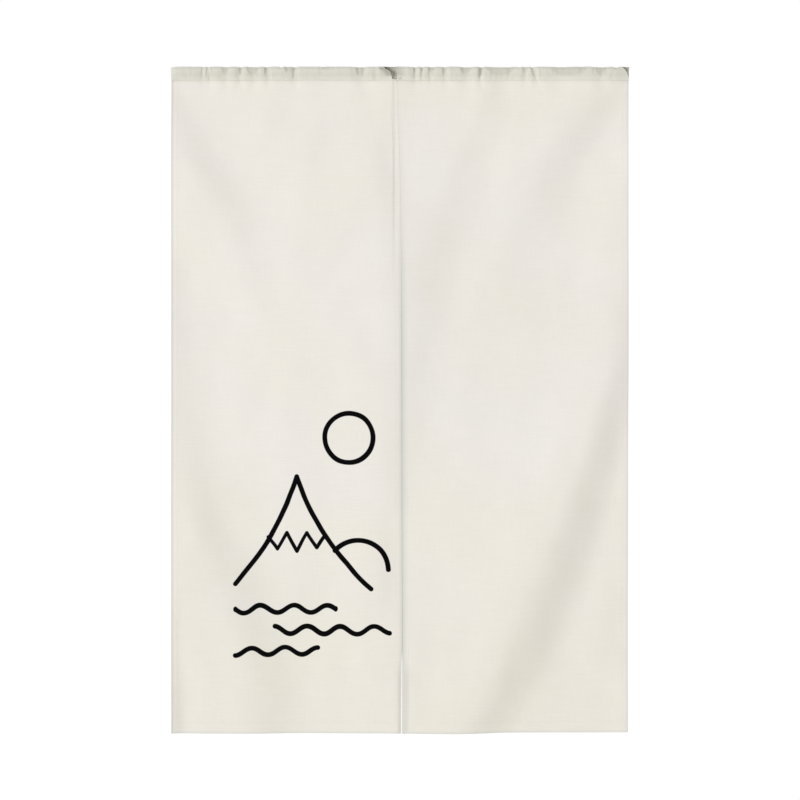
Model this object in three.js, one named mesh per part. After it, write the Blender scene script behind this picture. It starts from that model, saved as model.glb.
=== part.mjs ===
// A noren, the split door curtain, in cream canvas: two panels side by side, each with a
// gathered rod pocket at its head and a slit between them down to the hem.
// Millimetres. X runs across the doorway, Y from front to back and Z up, so the front faces -Y.
// The origin is the middle of the top edge, where a rod holds the curtain up.

import * as THREE from 'three';

// Overall size as it hangs, and the cloth.
const HALF_WIDTH = 411.5;
const HEIGHT = 1200;
const CLOTH = 1.2;
const GAP = 0.3;

// The rod pocket is a teardrop in section: round over the rod, and closed by a seam below it.
const POCKET_HEIGHT = 25;
const POCKET_DEPTH = 22;
const POCKET_SEAM = 4;
const SEAM_THICKNESS = 2.6;
const INNER_TIP = 0.2;
const POCKET_LOOP_STEPS = 7;
const POCKET_PITCH = 18;
const CLOSEST_STATIONS = 3.2;

// The teardrop is sin(turn) * sin(turn / 2) wide, and this is that product's largest value.
const TEARDROP_PEAK = 0.77;

// The sheets are modelled on a net of columns and rows, closer together at the edges.
const COLUMN_PITCH = 18;
const ROW_PITCH = 42;
const EDGE_COLUMNS = [0, 4, 12, 15];
const HEAD_ROWS = [0, 8, 20, 38, 62];
const FOOT_ROWS = [24, 20, 5, 0];

// Hems are turned to the back, so the cloth is thicker in a band along three edges.
const SIDE_HEM = 13;
const BOTTOM_HEM = 22;
const HEM_EXTRA = 0.8;

// Every free edge rolls back a little. Where the slit parts at the foot, the left panel's edge
// rolls back and the right panel's edge rolls forward, from one height down to another.
const EDGE_ROLL = { reach: 12, back: 0.6 };
const FOOT_ROLL = { from: -1020, full: -1110 };

// The side the slit is on, and how its edge rolls at the foot.
const PANELS = {
  left: { slitSide: 1, footBack: 1.0, footReach: 5 },
  right: { slitSide: -1, footBack: -1.5, footReach: 8 },
};

// The left panel laps over the right one: widely at the head of the slit, where a row of stitching
// joins them, then by little more than its edge, and not at all at the foot, where they part.
const LAP = { middle: -8, width: 14, reach: 34, from: -1030, fade: 70, clearance: 0.6 };
const LEFT_SLIT = [
  { z: -26, x: -6.0 },
  { z: -88, x: -4.2 },
  { z: -151, x: -0.9 },
  { z: -259, x: 1.2 },
  { z: -400, x: 2.6 },
  { z: -880, x: 3.2 },
  { z: -975, x: 2.5 },
  { z: -1060, x: 2.2 },
  { z: -1200, x: 2.0 },
];
const RIGHT_SLIT = [
  { z: -26, x: -18.0 },
  { z: -260, x: -16.0 },
  { z: -330, x: -8.0 },
  { z: -420, x: 1.2 },
  { z: -880, x: 1.6 },
  { z: -975, x: 2.5 },
  { z: -1060, x: 3.1 },
  { z: -1200, x: 3.2 },
];

// Below the wide lap both layers dip together along the slit.
const SLIT_DIP = { depth: 1.7, width: 6.5, from: -320, full: -460 };

// How far the front layer of a pocket is drawn in at its mouth, at each share of the pocket's
// height. Where this is below zero the front layer reaches out.
const EVEN_MOUTH = [
  { height: 0.0, drawn: 0.0 },
  { height: 1.0, drawn: 0.0 },
];
const CUT_BACK_MOUTH = [
  { height: 0.0, drawn: 0.0 },
  { height: 0.05, drawn: 5.5 },
  { height: 0.3, drawn: 6.0 },
  { height: 0.5, drawn: 9.0 },
  { height: 0.65, drawn: 15.0 },
  { height: 0.8, drawn: 21.0 },
  { height: 1.0, drawn: 23.0 },
];
const REACHING_MOUTH = [
  { height: 0.0, drawn: 0.0 },
  { height: 0.5, drawn: -0.8 },
  { height: 1.0, drawn: -3.6 },
];
const CORNER_MOUTH = [
  { height: 0.0, drawn: 0.0 },
  { height: 0.26, drawn: 1.4 },
  { height: 0.5, drawn: 4.0 },
  { height: 0.75, drawn: 8.0 },
  { height: 1.0, drawn: 13.5 },
];

// The ends of each pocket. A mouth's slant is spread over this much of the pocket.
const MOUTH_REACH = 45;
const POCKET_ENDS = {
  left: { from: -411.5, to: -5.9, mouthFrom: EVEN_MOUTH, mouthTo: CUT_BACK_MOUTH },
  right: { from: -5.4, to: 411.5, mouthFrom: REACHING_MOUTH, mouthTo: CORNER_MOUTH },
};

// The back layer of a mouth follows the front one only above this share of the pocket's height.
const BACK_SLANT_FROM = 0.95;

// How a gather presses the pocket's front, its back and its top edge, and the cloth below the seam,
// as shares of its depth. Below the seam it widens with each millimetre of drop and dies out over a
// reach that grows with its width.
const GATHER_SHARE = { front: 0.8, back: 0.3, top: 0.3 };
const GATHER_WIDENING = 0.45;
const GATHER_REACH = { least: 16, perWidth: 1.6 };

// Gathers in the pocket. Each is an upright furrow, and lean is how far it has moved sideways at
// the seam.
const GATHERS = [
  { x: -354, depth: 1.4, width: 4.0, lean: 0 },
  { x: -345, depth: 2.2, width: 4.0, lean: 3 },
  { x: -313, depth: 2.0, width: 7.0, lean: 0 },
  { x: -286, depth: 2.0, width: 6.0, lean: -2 },
  { x: -263, depth: 2.2, width: 9.0, lean: 0 },
  { x: -239, depth: 2.2, width: 5.0, lean: 2 },
  { x: -189, depth: 2.0, width: 6.0, lean: 0 },
  { x: -70, depth: 2.6, width: 12.0, lean: 3 },
  { x: 27, depth: 2.4, width: 5.0, lean: 1 },
  { x: 40, depth: 1.8, width: 4.0, lean: 0 },
  { x: 57, depth: 2.0, width: 4.0, lean: -2 },
  { x: 80, depth: 2.0, width: 6.0, lean: 2 },
  { x: 120, depth: 3.0, width: 11.0, lean: 0 },
  { x: 145, depth: 2.6, width: 3.5, lean: 0 },
  { x: 181, depth: 3.0, width: 20.0, lean: 4 },
  { x: 225, depth: 2.0, width: 5.0, lean: 0 },
  { x: 240, depth: 2.8, width: 3.5, lean: 5 },
  { x: 290, depth: 2.4, width: 18.0, lean: -3 },
  { x: 360, depth: 2.6, width: 12.0, lean: 2 },
];

// Folds. The cloth stands forward to the left of each line and back to the right of it.
// Each row is a point on the line, with the fold's depth and half width there.
const FOLDS = {
  leftShoulder: [
    { x: -430, z: -10, depth: 2.0, width: 28 },
    { x: -362, z: -151, depth: 4.2, width: 36 },
    { x: -323, z: -214, depth: 4.6, width: 38 },
    { x: -268, z: -331, depth: 2.4, width: 42 },
    { x: -238, z: -390, depth: 0.9, width: 44 },
    { x: -207, z: -460, depth: 0.0, width: 46 },
  ],
  leftEdge: [
    { x: -398, z: -240, depth: 0.0, width: 34 },
    { x: -400, z: -360, depth: 2.4, width: 36 },
    { x: -396, z: -560, depth: 2.6, width: 38 },
    { x: -376, z: -700, depth: 3.2, width: 42 },
    { x: -355, z: -777, depth: 4.6, width: 42 },
    { x: -331, z: -842, depth: 5.2, width: 44 },
    { x: -297, z: -907, depth: 5.2, width: 50 },
    { x: -274, z: -971, depth: 5.2, width: 54 },
    { x: -248, z: -1036, depth: 5.0, width: 52 },
    { x: -232, z: -1110, depth: 4.4, width: 48 },
    { x: -228, z: -1230, depth: 3.6, width: 46 },
  ],
  leftFoot: [
    { x: -404, z: -940, depth: 0.0, width: 12 },
    { x: -404, z: -1020, depth: 1.2, width: 13 },
    { x: -402, z: -1120, depth: 1.6, width: 14 },
    { x: -400, z: -1230, depth: 1.8, width: 14 },
  ],
  slitFoot: [
    { x: -34, z: -800, depth: 0.0, width: 20 },
    { x: -28, z: -880, depth: 1.4, width: 22 },
    { x: -24, z: -950, depth: 1.2, width: 22 },
    { x: -20, z: -1020, depth: 0.0, width: 20 },
  ],
  slitHead: [
    { x: -44, z: -90, depth: 0.0, width: 22 },
    { x: -34, z: -160, depth: 1.6, width: 24 },
    { x: -30, z: -230, depth: 1.2, width: 26 },
    { x: -34, z: -320, depth: 0.0, width: 28 },
  ],
  rightShoulder: [
    { x: 425, z: 10, depth: 2.2, width: 28 },
    { x: 346, z: -97, depth: 5.6, width: 42 },
    { x: 290, z: -178, depth: 7.6, width: 54 },
    { x: 254, z: -259, depth: 7.0, width: 58 },
    { x: 224, z: -331, depth: 5.0, width: 56 },
    { x: 190, z: -390, depth: 3.2, width: 52 },
    { x: 165, z: -455, depth: 0.0, width: 50 },
  ],
  rightMiddle: [
    { x: 186, z: -26, depth: 0.8, width: 34 },
    { x: 135, z: -151, depth: 4.0, width: 44 },
    { x: 104, z: -241, depth: 6.2, width: 52 },
    { x: 66, z: -349, depth: 5.0, width: 50 },
    { x: 54, z: -475, depth: 2.6, width: 44 },
    { x: 45, z: -600, depth: 0.0, width: 40 },
  ],
  mainDrag: [
    { x: 404, z: -360, depth: 0.0, width: 30 },
    { x: 404, z: -520, depth: 4.0, width: 32 },
    { x: 380, z: -643, depth: 8.2, width: 40 },
    { x: 340, z: -777, depth: 10.8, width: 48 },
    { x: 299, z: -907, depth: 13.2, width: 57 },
    { x: 273, z: -971, depth: 14.2, width: 61 },
    { x: 245, z: -1036, depth: 13.2, width: 57 },
    { x: 174, z: -1166, depth: 9.6, width: 48 },
    { x: 134, z: -1230, depth: 8.0, width: 46 },
  ],
  rightFoot: [
    { x: 392, z: -880, depth: 0.0, width: 26 },
    { x: 388, z: -970, depth: 1.2, width: 28 },
    { x: 382, z: -1050, depth: 1.0, width: 30 },
    { x: 376, z: -1130, depth: 0.0, width: 32 },
  ],
};
const FOLD_LINE_STEPS = 30;

// Beyond its half width a fold levels off slowly, over this many times the length. To the right of
// some folds the cloth stays back.
const LEVELLING = 1.7;
const STAYS_BACK = ['mainDrag'];

const smoothstep = THREE.MathUtils.smoothstep;
const lerp = THREE.MathUtils.lerp;

// A value read between the rows of a table, at a place in the column that runs along it.
function tableValue(rows, along, column, at) {
  for (let i = 0; i < rows.length - 1; i += 1) {
    const share = (at - rows[i][along]) / (rows[i + 1][along] - rows[i][along]);
    if (share <= 1) {
      return lerp(rows[i][column], rows[i + 1][column], Math.max(share, 0));
    }
  }
  return rows.at(-1)[column];
}

// The rows of a fold drawn out as a smooth line, with depth and width carried along it.
function foldLine([name, rows]) {
  const through = (points) => new THREE.CatmullRomCurve3(points, false, 'catmullrom', 0.5);
  const places = through(rows.map((row) => new THREE.Vector3(row.x, 0, row.z)));
  const sizes = through(rows.map((row) => new THREE.Vector3(row.depth, row.width, 0)));
  const line = [];
  for (let i = 0; i <= FOLD_LINE_STEPS; i += 1) {
    const place = places.getPoint(i / FOLD_LINE_STEPS);
    const size = sizes.getPoint(i / FOLD_LINE_STEPS);
    line.push({ x: place.x, z: place.z, depth: Math.max(size.x, 0), width: size.y });
  }
  return { line, staysBack: STAYS_BACK.includes(name) };
}

const FOLD_LINES = Object.entries(FOLDS).map(foldLine);

// How far a fold moves the cloth back, as a share of its depth, at so many half widths across it.
function foldWave(across, staysBack) {
  if (staysBack && across > 1) {
    return 1;
  }
  const beyond = Math.max(Math.abs(across) - 1, 0);
  const place = Math.sign(across) * (Math.abs(across) - beyond + beyond / LEVELLING);
  return place * Math.exp((1 - place * place) / 2);
}

// How far a fold moves the cloth back at (x, z).
function foldDepth({ line, staysBack }, x, z) {
  let nearest = Infinity;
  let moved = 0;
  for (let i = 0; i < line.length - 1; i += 1) {
    const a = line[i];
    const b = line[i + 1];
    const alongX = b.x - a.x;
    const alongZ = b.z - a.z;
    const share = ((x - a.x) * alongX + (z - a.z) * alongZ) / (alongX * alongX + alongZ * alongZ);
    const t = THREE.MathUtils.clamp(share, 0, 1);
    const offX = x - a.x - alongX * t;
    const offZ = z - a.z - alongZ * t;
    const distance = Math.hypot(offX, offZ);
    if (distance < nearest) {
      nearest = distance;
      const side = Math.sign(alongX * offZ - alongZ * offX);
      const across = (side * distance) / lerp(a.width, b.width, t);
      moved = lerp(a.depth, b.depth, t) * foldWave(across, staysBack);
    }
  }
  return moved;
}

// How deep the gathers are at (x, z). Below the seam they grow wide and shallow, and die out.
function gatherDepth(x, z) {
  const drop = Math.max(-POCKET_HEIGHT - z, 0);
  let total = 0;
  for (const gather of GATHERS) {
    const centre = gather.x + (gather.lean * Math.min(-z, 2 * POCKET_HEIGHT)) / POCKET_HEIGHT;
    const width = Math.hypot(gather.width, drop * GATHER_WIDENING);
    const reach = GATHER_REACH.least + GATHER_REACH.perWidth * gather.width;
    const fade = Math.exp(-drop / reach);
    total += gather.depth * (gather.width / width) * fade * Math.exp(-(((x - centre) / width) ** 2));
  }
  return total;
}

// The front face of the cloth at (x, z), before the edges and the lap.
function hang(x, z) {
  let y = GATHER_SHARE.front * gatherDepth(x, z);
  for (const line of FOLD_LINES) {
    y += foldDepth(line, x, z);
  }
  return y;
}

// The x of a slit edge at height z.
const slitEdge = (rows, z) => tableValue(rows, 'z', 'x', z);

// How far both layers dip at (x, z) along the slit.
function slitDip(x, z) {
  const share = smoothstep(SLIT_DIP.from - z, 0, SLIT_DIP.from - SLIT_DIP.full);
  const across = (x - slitEdge(LEFT_SLIT, z)) / SLIT_DIP.width;
  return SLIT_DIP.depth * share * Math.exp(-across * across);
}

// A closed body from two grids of points with the same rows and columns, front and back.
// When the grid is a loop, its first column follows its last, and both ends stay open rings.
function bodyBetween(front, back, isLoop) {
  const rows = front.length;
  const columns = front[0].length;
  const positions = [...front.flat(), ...back.flat()].flatMap((point) => [point.x, point.y, point.z]);
  const faces = [];
  const frontAt = (r, c) => r * columns + (c % columns);
  const backAt = (r, c) => rows * columns + frontAt(r, c);
  const quad = (a, b, c, d) => faces.push(a, b, c, a, c, d);
  const lastColumn = isLoop ? columns : columns - 1;
  for (let r = 0; r < rows - 1; r += 1) {
    for (let c = 0; c < lastColumn; c += 1) {
      quad(frontAt(r, c), frontAt(r + 1, c), frontAt(r + 1, c + 1), frontAt(r, c + 1));
      quad(backAt(r, c), backAt(r, c + 1), backAt(r + 1, c + 1), backAt(r + 1, c));
    }
  }
  for (let c = 0; c < lastColumn; c += 1) {
    quad(frontAt(0, c), frontAt(0, c + 1), backAt(0, c + 1), backAt(0, c));
    quad(frontAt(rows - 1, c), backAt(rows - 1, c), backAt(rows - 1, c + 1), frontAt(rows - 1, c + 1));
  }
  if (!isLoop) {
    const last = columns - 1;
    for (let r = 0; r < rows - 1; r += 1) {
      quad(frontAt(r, 0), backAt(r, 0), backAt(r + 1, 0), frontAt(r + 1, 0));
      quad(frontAt(r, last), frontAt(r + 1, last), backAt(r + 1, last), backAt(r, last));
    }
  }
  const geometry = new THREE.BufferGeometry();
  geometry.setAttribute('position', new THREE.Float32BufferAttribute(positions, 3));
  geometry.setIndex(faces);
  geometry.computeVertexNormals();
  return geometry;
}

// Heights of the rows, from the seam under the pocket down to the hem.
function panelRows() {
  const top = -POCKET_HEIGHT - GAP;
  const rows = HEAD_ROWS.map((drop) => top - drop);
  const from = rows[rows.length - 1];
  const to = -HEIGHT + FOOT_ROWS[0];
  const count = Math.round((from - to) / ROW_PITCH);
  for (let i = 1; i < count; i += 1) {
    rows.push(lerp(from, to, i / count));
  }
  return rows.concat(FOOT_ROWS.map((rise) => -HEIGHT + rise));
}

// Places of the columns between two edges.
function panelColumns(from, to) {
  const first = EDGE_COLUMNS.map((inset) => from + inset);
  const last = EDGE_COLUMNS.map((inset) => to - inset).reverse();
  const start = first[first.length - 1];
  const count = Math.round((HALF_WIDTH - 2 * EDGE_COLUMNS.at(-1)) / COLUMN_PITCH);
  const columns = [...first];
  for (let i = 1; i < count; i += 1) {
    columns.push(lerp(start, last[0], i / count));
  }
  return columns.concat(last);
}

// One panel. slitSide is 1 where its slit is on its right and it goes in front there, and -1 where
// its slit is on its left and it goes behind.
function panel(edges, { slitSide, footBack, footReach }) {
  const front = [];
  const back = [];
  const lapDepth = (CLOTH + HEM_EXTRA + LAP.clearance) / 2;
  for (const z of panelRows()) {
    const [from, to] = edges(z);
    const frontRow = [];
    const backRow = [];
    for (const x of panelColumns(from, to)) {
      const fromOuter = slitSide > 0 ? x - from : to - x;
      const fromSlit = slitSide > 0 ? to - x : x - from;
      const toEdge = Math.min(fromOuter, fromSlit);
      const roll = EDGE_ROLL.back * (1 - smoothstep(toEdge, 0, EDGE_ROLL.reach));
      const footRoll = footBack * (1 - smoothstep(fromSlit, 0, footReach));
      const footShare = smoothstep(FOOT_ROLL.from - z, 0, FOOT_ROLL.from - FOOT_ROLL.full);
      const lapShare = 1 - smoothstep(LAP.from - z, 0, LAP.fade);
      const rollShare = 1 - lapShare * (1 - smoothstep(fromSlit, 0, LAP.reach));
      const nearSlit = 1 - smoothstep(Math.abs(x - LAP.middle), LAP.width, LAP.width + LAP.reach);
      const lap = -slitSide * lapDepth * lapShare * nearSlit;
      const y = hang(x, z) + slitDip(x, z) + lap + rollShare * roll + footShare * footRoll;
      const inHem = toEdge < SIDE_HEM || z + HEIGHT < BOTTOM_HEM;
      frontRow.push({ x, y, z });
      backRow.push({ x, y: y + CLOTH + (inHem ? HEM_EXTRA : 0), z });
    }
    front.push(frontRow);
    back.push(backRow);
  }
  return bodyBetween(front, back, false);
}

// Where the pocket's cross sections stand: evenly, and at the bottom and sides of each gather.
function pocketStations(from, to) {
  const wanted = GATHERS.flatMap((gather) => [gather.x, gather.x - gather.width, gather.x + gather.width]);
  const count = Math.round((to - from) / POCKET_PITCH);
  for (let i = 1; i < count; i += 1) {
    wanted.push(lerp(from, to, i / count));
  }
  const kept = [from, to];
  for (const x of wanted) {
    const isInside = x > from + POCKET_PITCH && x < to - POCKET_PITCH;
    if (isInside && kept.every((other) => Math.abs(other - x) > CLOSEST_STATIONS)) {
      kept.push(x);
    }
  }
  return kept.sort((a, b) => a - b);
}

// One sleeve, open at both ends. The loop runs from the seam up the front and down the back.
function pocket({ from, to, mouthFrom, mouthTo }) {
  const outer = [];
  const inner = [];
  const steps = 2 * POCKET_LOOP_STEPS + 1;
  for (const station of pocketStations(from, to)) {
    const outerRow = [];
    const innerRow = [];
    for (let j = 0; j < steps; j += 1) {
      const turn = (2 * Math.PI * j) / (steps - 1);
      const height = (1 - Math.cos(turn)) / 2;
      const isFront = turn <= Math.PI + 1e-6;
      const follows = isFront ? 1 : Math.max(0, (height - BACK_SLANT_FROM) / (1 - BACK_SLANT_FROM));
      const drawnFrom = follows * tableValue(mouthFrom, 'height', 'drawn', height);
      const drawnTo = follows * tableValue(mouthTo, 'height', 'drawn', height);
      const nearFrom = 1 - smoothstep(station, from, from + MOUTH_REACH);
      const nearTo = smoothstep(station, to - MOUTH_REACH, to);
      const x = station + drawnFrom * nearFrom - drawnTo * nearTo;
      const swell = (Math.sin(turn) * Math.abs(Math.sin(turn / 2))) / TEARDROP_PEAK;
      const tip = (Math.sign(Math.PI - turn) * (1 - height) * SEAM_THICKNESS) / 2;
      const gather = gatherDepth(x, -POCKET_HEIGHT * (1 - height));
      const pressed = gather * (isFront ? GATHER_SHARE.front : GATHER_SHARE.back);
      const dip = gather * GATHER_SHARE.top * height * height;
      const seamShift = (1 - height) * hang(x, -POCKET_HEIGHT);
      const outerSwell = (swell * POCKET_DEPTH) / 2 - swell * pressed;
      const innerSwell = outerSwell - swell * CLOTH;
      const innerFloor = POCKET_SEAM + (POCKET_HEIGHT - POCKET_SEAM - CLOTH) * height;
      outerRow.push({ x, y: seamShift - outerSwell - tip, z: -POCKET_HEIGHT * (1 - height) - dip });
      innerRow.push({ x, y: seamShift - innerSwell - tip * INNER_TIP, z: innerFloor - POCKET_HEIGHT - dip });
    }
    outer.push(outerRow);
    inner.push(innerRow);
  }
  return bodyBetween(outer, inner, true);
}

const leftPanelEdges = (z) => [-HALF_WIDTH, slitEdge(LEFT_SLIT, z)];
const rightPanelEdges = (z) => [slitEdge(RIGHT_SLIT, z), HALF_WIDTH];

const CANVAS = { color: 0xebe8e0, roughness: 0.9, metalness: 0 };
const POCKET_CANVAS = { color: 0xd5d4c8, roughness: 0.92, metalness: 0 };

const noren = new THREE.Group();

function add(name, geometry, finish) {
  const mesh = new THREE.Mesh(geometry, new THREE.MeshStandardMaterial(finish));
  mesh.name = name;
  noren.add(mesh);
}

add('panel_left', panel(leftPanelEdges, PANELS.left), CANVAS);
add('panel_right', panel(rightPanelEdges, PANELS.right), CANVAS);
add('rod_pocket_left', pocket(POCKET_ENDS.left), POCKET_CANVAS);
add('rod_pocket_right', pocket(POCKET_ENDS.right), POCKET_CANVAS);

export default noren;
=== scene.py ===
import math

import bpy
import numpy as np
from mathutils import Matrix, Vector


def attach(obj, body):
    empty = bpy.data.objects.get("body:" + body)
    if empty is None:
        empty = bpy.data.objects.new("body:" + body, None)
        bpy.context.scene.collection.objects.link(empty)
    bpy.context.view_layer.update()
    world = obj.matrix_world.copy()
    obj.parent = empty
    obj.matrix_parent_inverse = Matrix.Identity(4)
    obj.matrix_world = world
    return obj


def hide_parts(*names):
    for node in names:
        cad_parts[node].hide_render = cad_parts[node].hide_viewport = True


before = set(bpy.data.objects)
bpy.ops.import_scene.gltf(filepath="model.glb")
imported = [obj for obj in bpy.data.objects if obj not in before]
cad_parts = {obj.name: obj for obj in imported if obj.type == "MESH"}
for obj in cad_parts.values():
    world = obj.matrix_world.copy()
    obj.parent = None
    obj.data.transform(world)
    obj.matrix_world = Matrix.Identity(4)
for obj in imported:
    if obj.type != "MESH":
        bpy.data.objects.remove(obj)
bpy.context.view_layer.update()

# A noren, the split door curtain, in cream canvas. Two panels hang from gathered rod pockets, with
# a slit between them, and a landscape in bold black line is printed low on the left panel.
# X runs across, Y from front to back and Z up. The origin is the middle of the top edge. Lengths
# are in metres, apart from the rows that in_metres reads, which are in millimetres.


def in_metres(rows, shares=()):
    """Rows of lengths in millimetres, turned to metres. Values at the places in shares are kept."""
    return [[v if place in shares else v / 1000 for place, v in enumerate(row)] for row in rows]


# Size as it hangs, the same as the solids have.
HALF_WIDTH = 0.4115
HEIGHT = 1.2
POCKET_HEIGHT = 0.025
POCKET_DEPTH = 0.022
POCKET_SEAM = 0.004
SEAM_THICKNESS = 0.0026
TEARDROP_PEAK = 0.77
INNER_TIP = 0.2

# The cloth itself, and its hems, which are turned twice to the back. A hem's thickness steps down
# over a short way at its inner edge, and its stitches pucker it in an uneven beat.
CANVAS = 0.0006
HEM_LAYERS = 0.0007
SIDE_HEM = 0.013
BOTTOM_HEM = 0.022
HEM_STEP = (-0.0006, 0.0001)
HEM_STITCHES = {"side": 0.0112, "bottom": 0.0195, "pucker": 0.00006, "pitch": 0.0125, "reach": 0.004}
PUCKER_SWAY = {"by": 3, "side": 41, "bottom": 37}
TUCKED_INTO_POCKET = 0.0025
THINNEST_EDGE = 0.00006

# Free edges roll back a little. At the slit's foot the left edge rolls back and the right edge rolls
# forward: how far, and over what reach.
EDGE_ROLL = {"reach": 0.012, "back": 0.0003}
FOOT_ROLL = {"from": -1.058, "full": -1.105, "left": (0.0009, 0.008), "right": (-0.0024, 0.013)}
# Painted shade along every edge, where the hemmed edge turns away from the light: over what
# reach, and how grey each edge is.
GREY_EDGE = {"reach": 0.0060, "left": 0.98, "right": 0.52, "foot": 0.46}
# Painted shade along the slit: on the right panel where it comes out from under the left one, the
# shadow of the lap, less at the head and over a wider reach at the foot, and on the left panel close
# to its edge at the foot, where that edge rolls back.
GREY_SLIT = {
    "most": 0.72, "head": 0.35, "from": -0.220, "full": -0.500, "foot": 0.72,
    "start": 0.0005, "reach": 0.0110, "foot_reach": 0.0190,
}
GREY_LEFT = {"edge": 0.05, "reach": 0.004, "beside": 0.28, "inset": 0.0040, "width": 0.0018}
# Broad soft areas, some painted paler and some darker, partly the cloth's own uneven tone and partly
# painted light and shade: x, z, half width, half height, and the tone as a share.
SOFT_AREAS = in_metres((
    (-255, -480, 120, 330, 0.026), (18, -370, 36, 330, -0.034), (-20, -215, 26, 110, -0.026),
    (-390, -320, 26, 90, 0.034), (-100, -720, 50, 300, 0.02), (70, -770, 36, 110, 0.03),
    (20, -1080, 24, 190, -0.028), (90, -1050, 60, 70, -0.022), (6, -680, 32, 240, -0.026),
    (-402, -1160, 20, 70, -0.04), (386, -1140, 22, 80, 0.024), (290, -1120, 50, 80, -0.018),
), shares=[4])
# The cloth is yellower near its head and towards its foot, and has painted shade just below the seam.
YELLOWING = {"red": 0.006, "green": 0.007, "blue": 0.036}
YELLOW_HEAD = {"most": 0.60, "fades": (0.030, 0.090)}
YELLOW_FOOT = {"from": -0.700, "full": -1.050}
BELOW_SEAM = {"shade": 0.040, "reach": 0.008}

# The left panel laps over the right one, widely at the head of the slit and narrowly below it,
# and at the foot they part. The slit's two edges are rows of z and x.
LAP = {"middle": -0.008, "width": 0.014, "reach": 0.034, "from": -1.060, "full": -1.100, "depth": 0.0007}
LEFT_SLIT = in_metres((
    (-26, -6), (-88, -4.2), (-151, -0.9), (-259, 1.2), (-400, 2.6), (-880, 3.4), (-960, 3.7),
    (-1045, 3.7), (-1075, 2.5), (-1200, 2),
))
RIGHT_SLIT = in_metres((
    (-26, -18), (-260, -16), (-330, -8), (-420, 1.2), (-880, 1.8), (-975, 2.6), (-1060, 3.5),
    (-1200, 3.4),
))
# Both layers dip together along the slit's edge, more and more on the way down.
SLIT_DIP = {"depth": 0.0013, "left": 0.0032, "right": 0.0200, "from": -0.050, "full": -0.480}
# The lap is pressed thin at its head, and less so below. Rows are z and the share that is left.
PRESSED_LAP = ((-0.080, 0.22), (-0.300, 0.25), (-0.480, 0.55), (-0.960, 0.60), (-1.080, 0.85))
# The row of stitching that joins the lap leaves a crease, steeper on its left, that dies out below.
JOIN = {"x": -0.0095, "from": -0.200, "full": -0.430, "depth": 0.0015, "edge": 0.0040, "recovery": 0.0100}

# How far a pocket's front is drawn in at its mouth: shares of the pocket's height, and lengths.
EVEN_MOUTH = ((0.0, 0.0), (1.0, 0.0))
CUT_BACK_MOUTH = in_metres((
    (0, 0), (0.05, 8), (0.3, 9), (0.5, 10.6), (0.66, 13.2), (0.78, 19.5), (1, 23.2),
), shares=[0])
REACHING_MOUTH = in_metres(((0, 0), (0.5, -0.8), (1, -3.6)), shares=[0])
CORNER_MOUTH = in_metres(((0, 0), (0.26, 1.4), (0.5, 4), (0.75, 8), (1, 13.5)), shares=[0])
# The ends of the two pockets. Each mouth has its place, its shape, the shares of the swell that its
# front and its back keep, as the mouths are pressed flatter than the rest, how much painted shade
# its front has, and how far its back reaches out beyond it.
POCKET_ENDS = {
    "left": (
        (-0.4115, EVEN_MOUTH, 0.90, 0.90, 0.0, 0.0),
        (-0.0059, CUT_BACK_MOUTH, 0.50, 0.68, 0.90, 0.0),
    ),
    "right": (
        (-0.0054, REACHING_MOUTH, 0.72, 0.80, 0.55, 0.0),
        (0.4115, CORNER_MOUTH, 0.75, 0.75, 0.0, 0.0013),
    ),
}
# How far along a pocket its mouth's shape, flatness and painted shade go, at what shares of its
# height the painted shade comes in, and where its back starts to slant with its front and is all the
# way out.
MOUTH = {"drawn": 0.045, "pressed": 0.024, "shaded": 0.020}
MOUTH_HEIGHTS = {"shade": (0.20, 0.45), "slant": 0.985, "out": 0.4}

# Gathers in the pockets: x, depth, width, lean.
GATHER_SHARE = {"front": 0.8, "back": 0.3, "top": 0.3}
GATHER_WIDENING = 0.45
GATHER_REACH = {"least": 0.016, "per_width": 1.6}
GATHERS = in_metres((
    (-354, 1.4, 4, 0), (-345, 2.2, 4, 3), (-313, 2, 7, 0), (-286, 2, 6, -2), (-263, 2.2, 9, 0),
    (-239, 2.2, 5, 2), (-189, 2, 6, 0), (-70, 2.6, 12, 3), (27, 2.4, 5, 1), (40, 1.8, 4, 0),
    (57, 2, 4, -2), (80, 2, 6, 2), (120, 3, 11, 0), (145, 2.6, 3.5, 0), (181, 3, 20, 4), (225, 2, 5, 0),
    (240, 2.8, 3.5, 5), (290, 2.4, 18, -3), (360, 2.6, 12, 2),
))
# Fine puckers between the gathers: the least and the most of each size, where they are deepest as
# shares of the pocket's height, how much of them shows in the top line, and from what swell they
# are full. Depth is a share of width.
FINE_GATHERS = {"count": 80, "width": (0.0013, 0.0038), "depth": (0.06, 0.16), "lean": (-0.003, 0.003)}
FINE_HEIGHTS = {"deepest": (0.12, 0.55, 0.95), "reach": (0.25, 0.55), "at_top": 0.6, "full_swell": 1 / 6}
FINE_SEEDS = {"left": 11, "right": 12}
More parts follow.
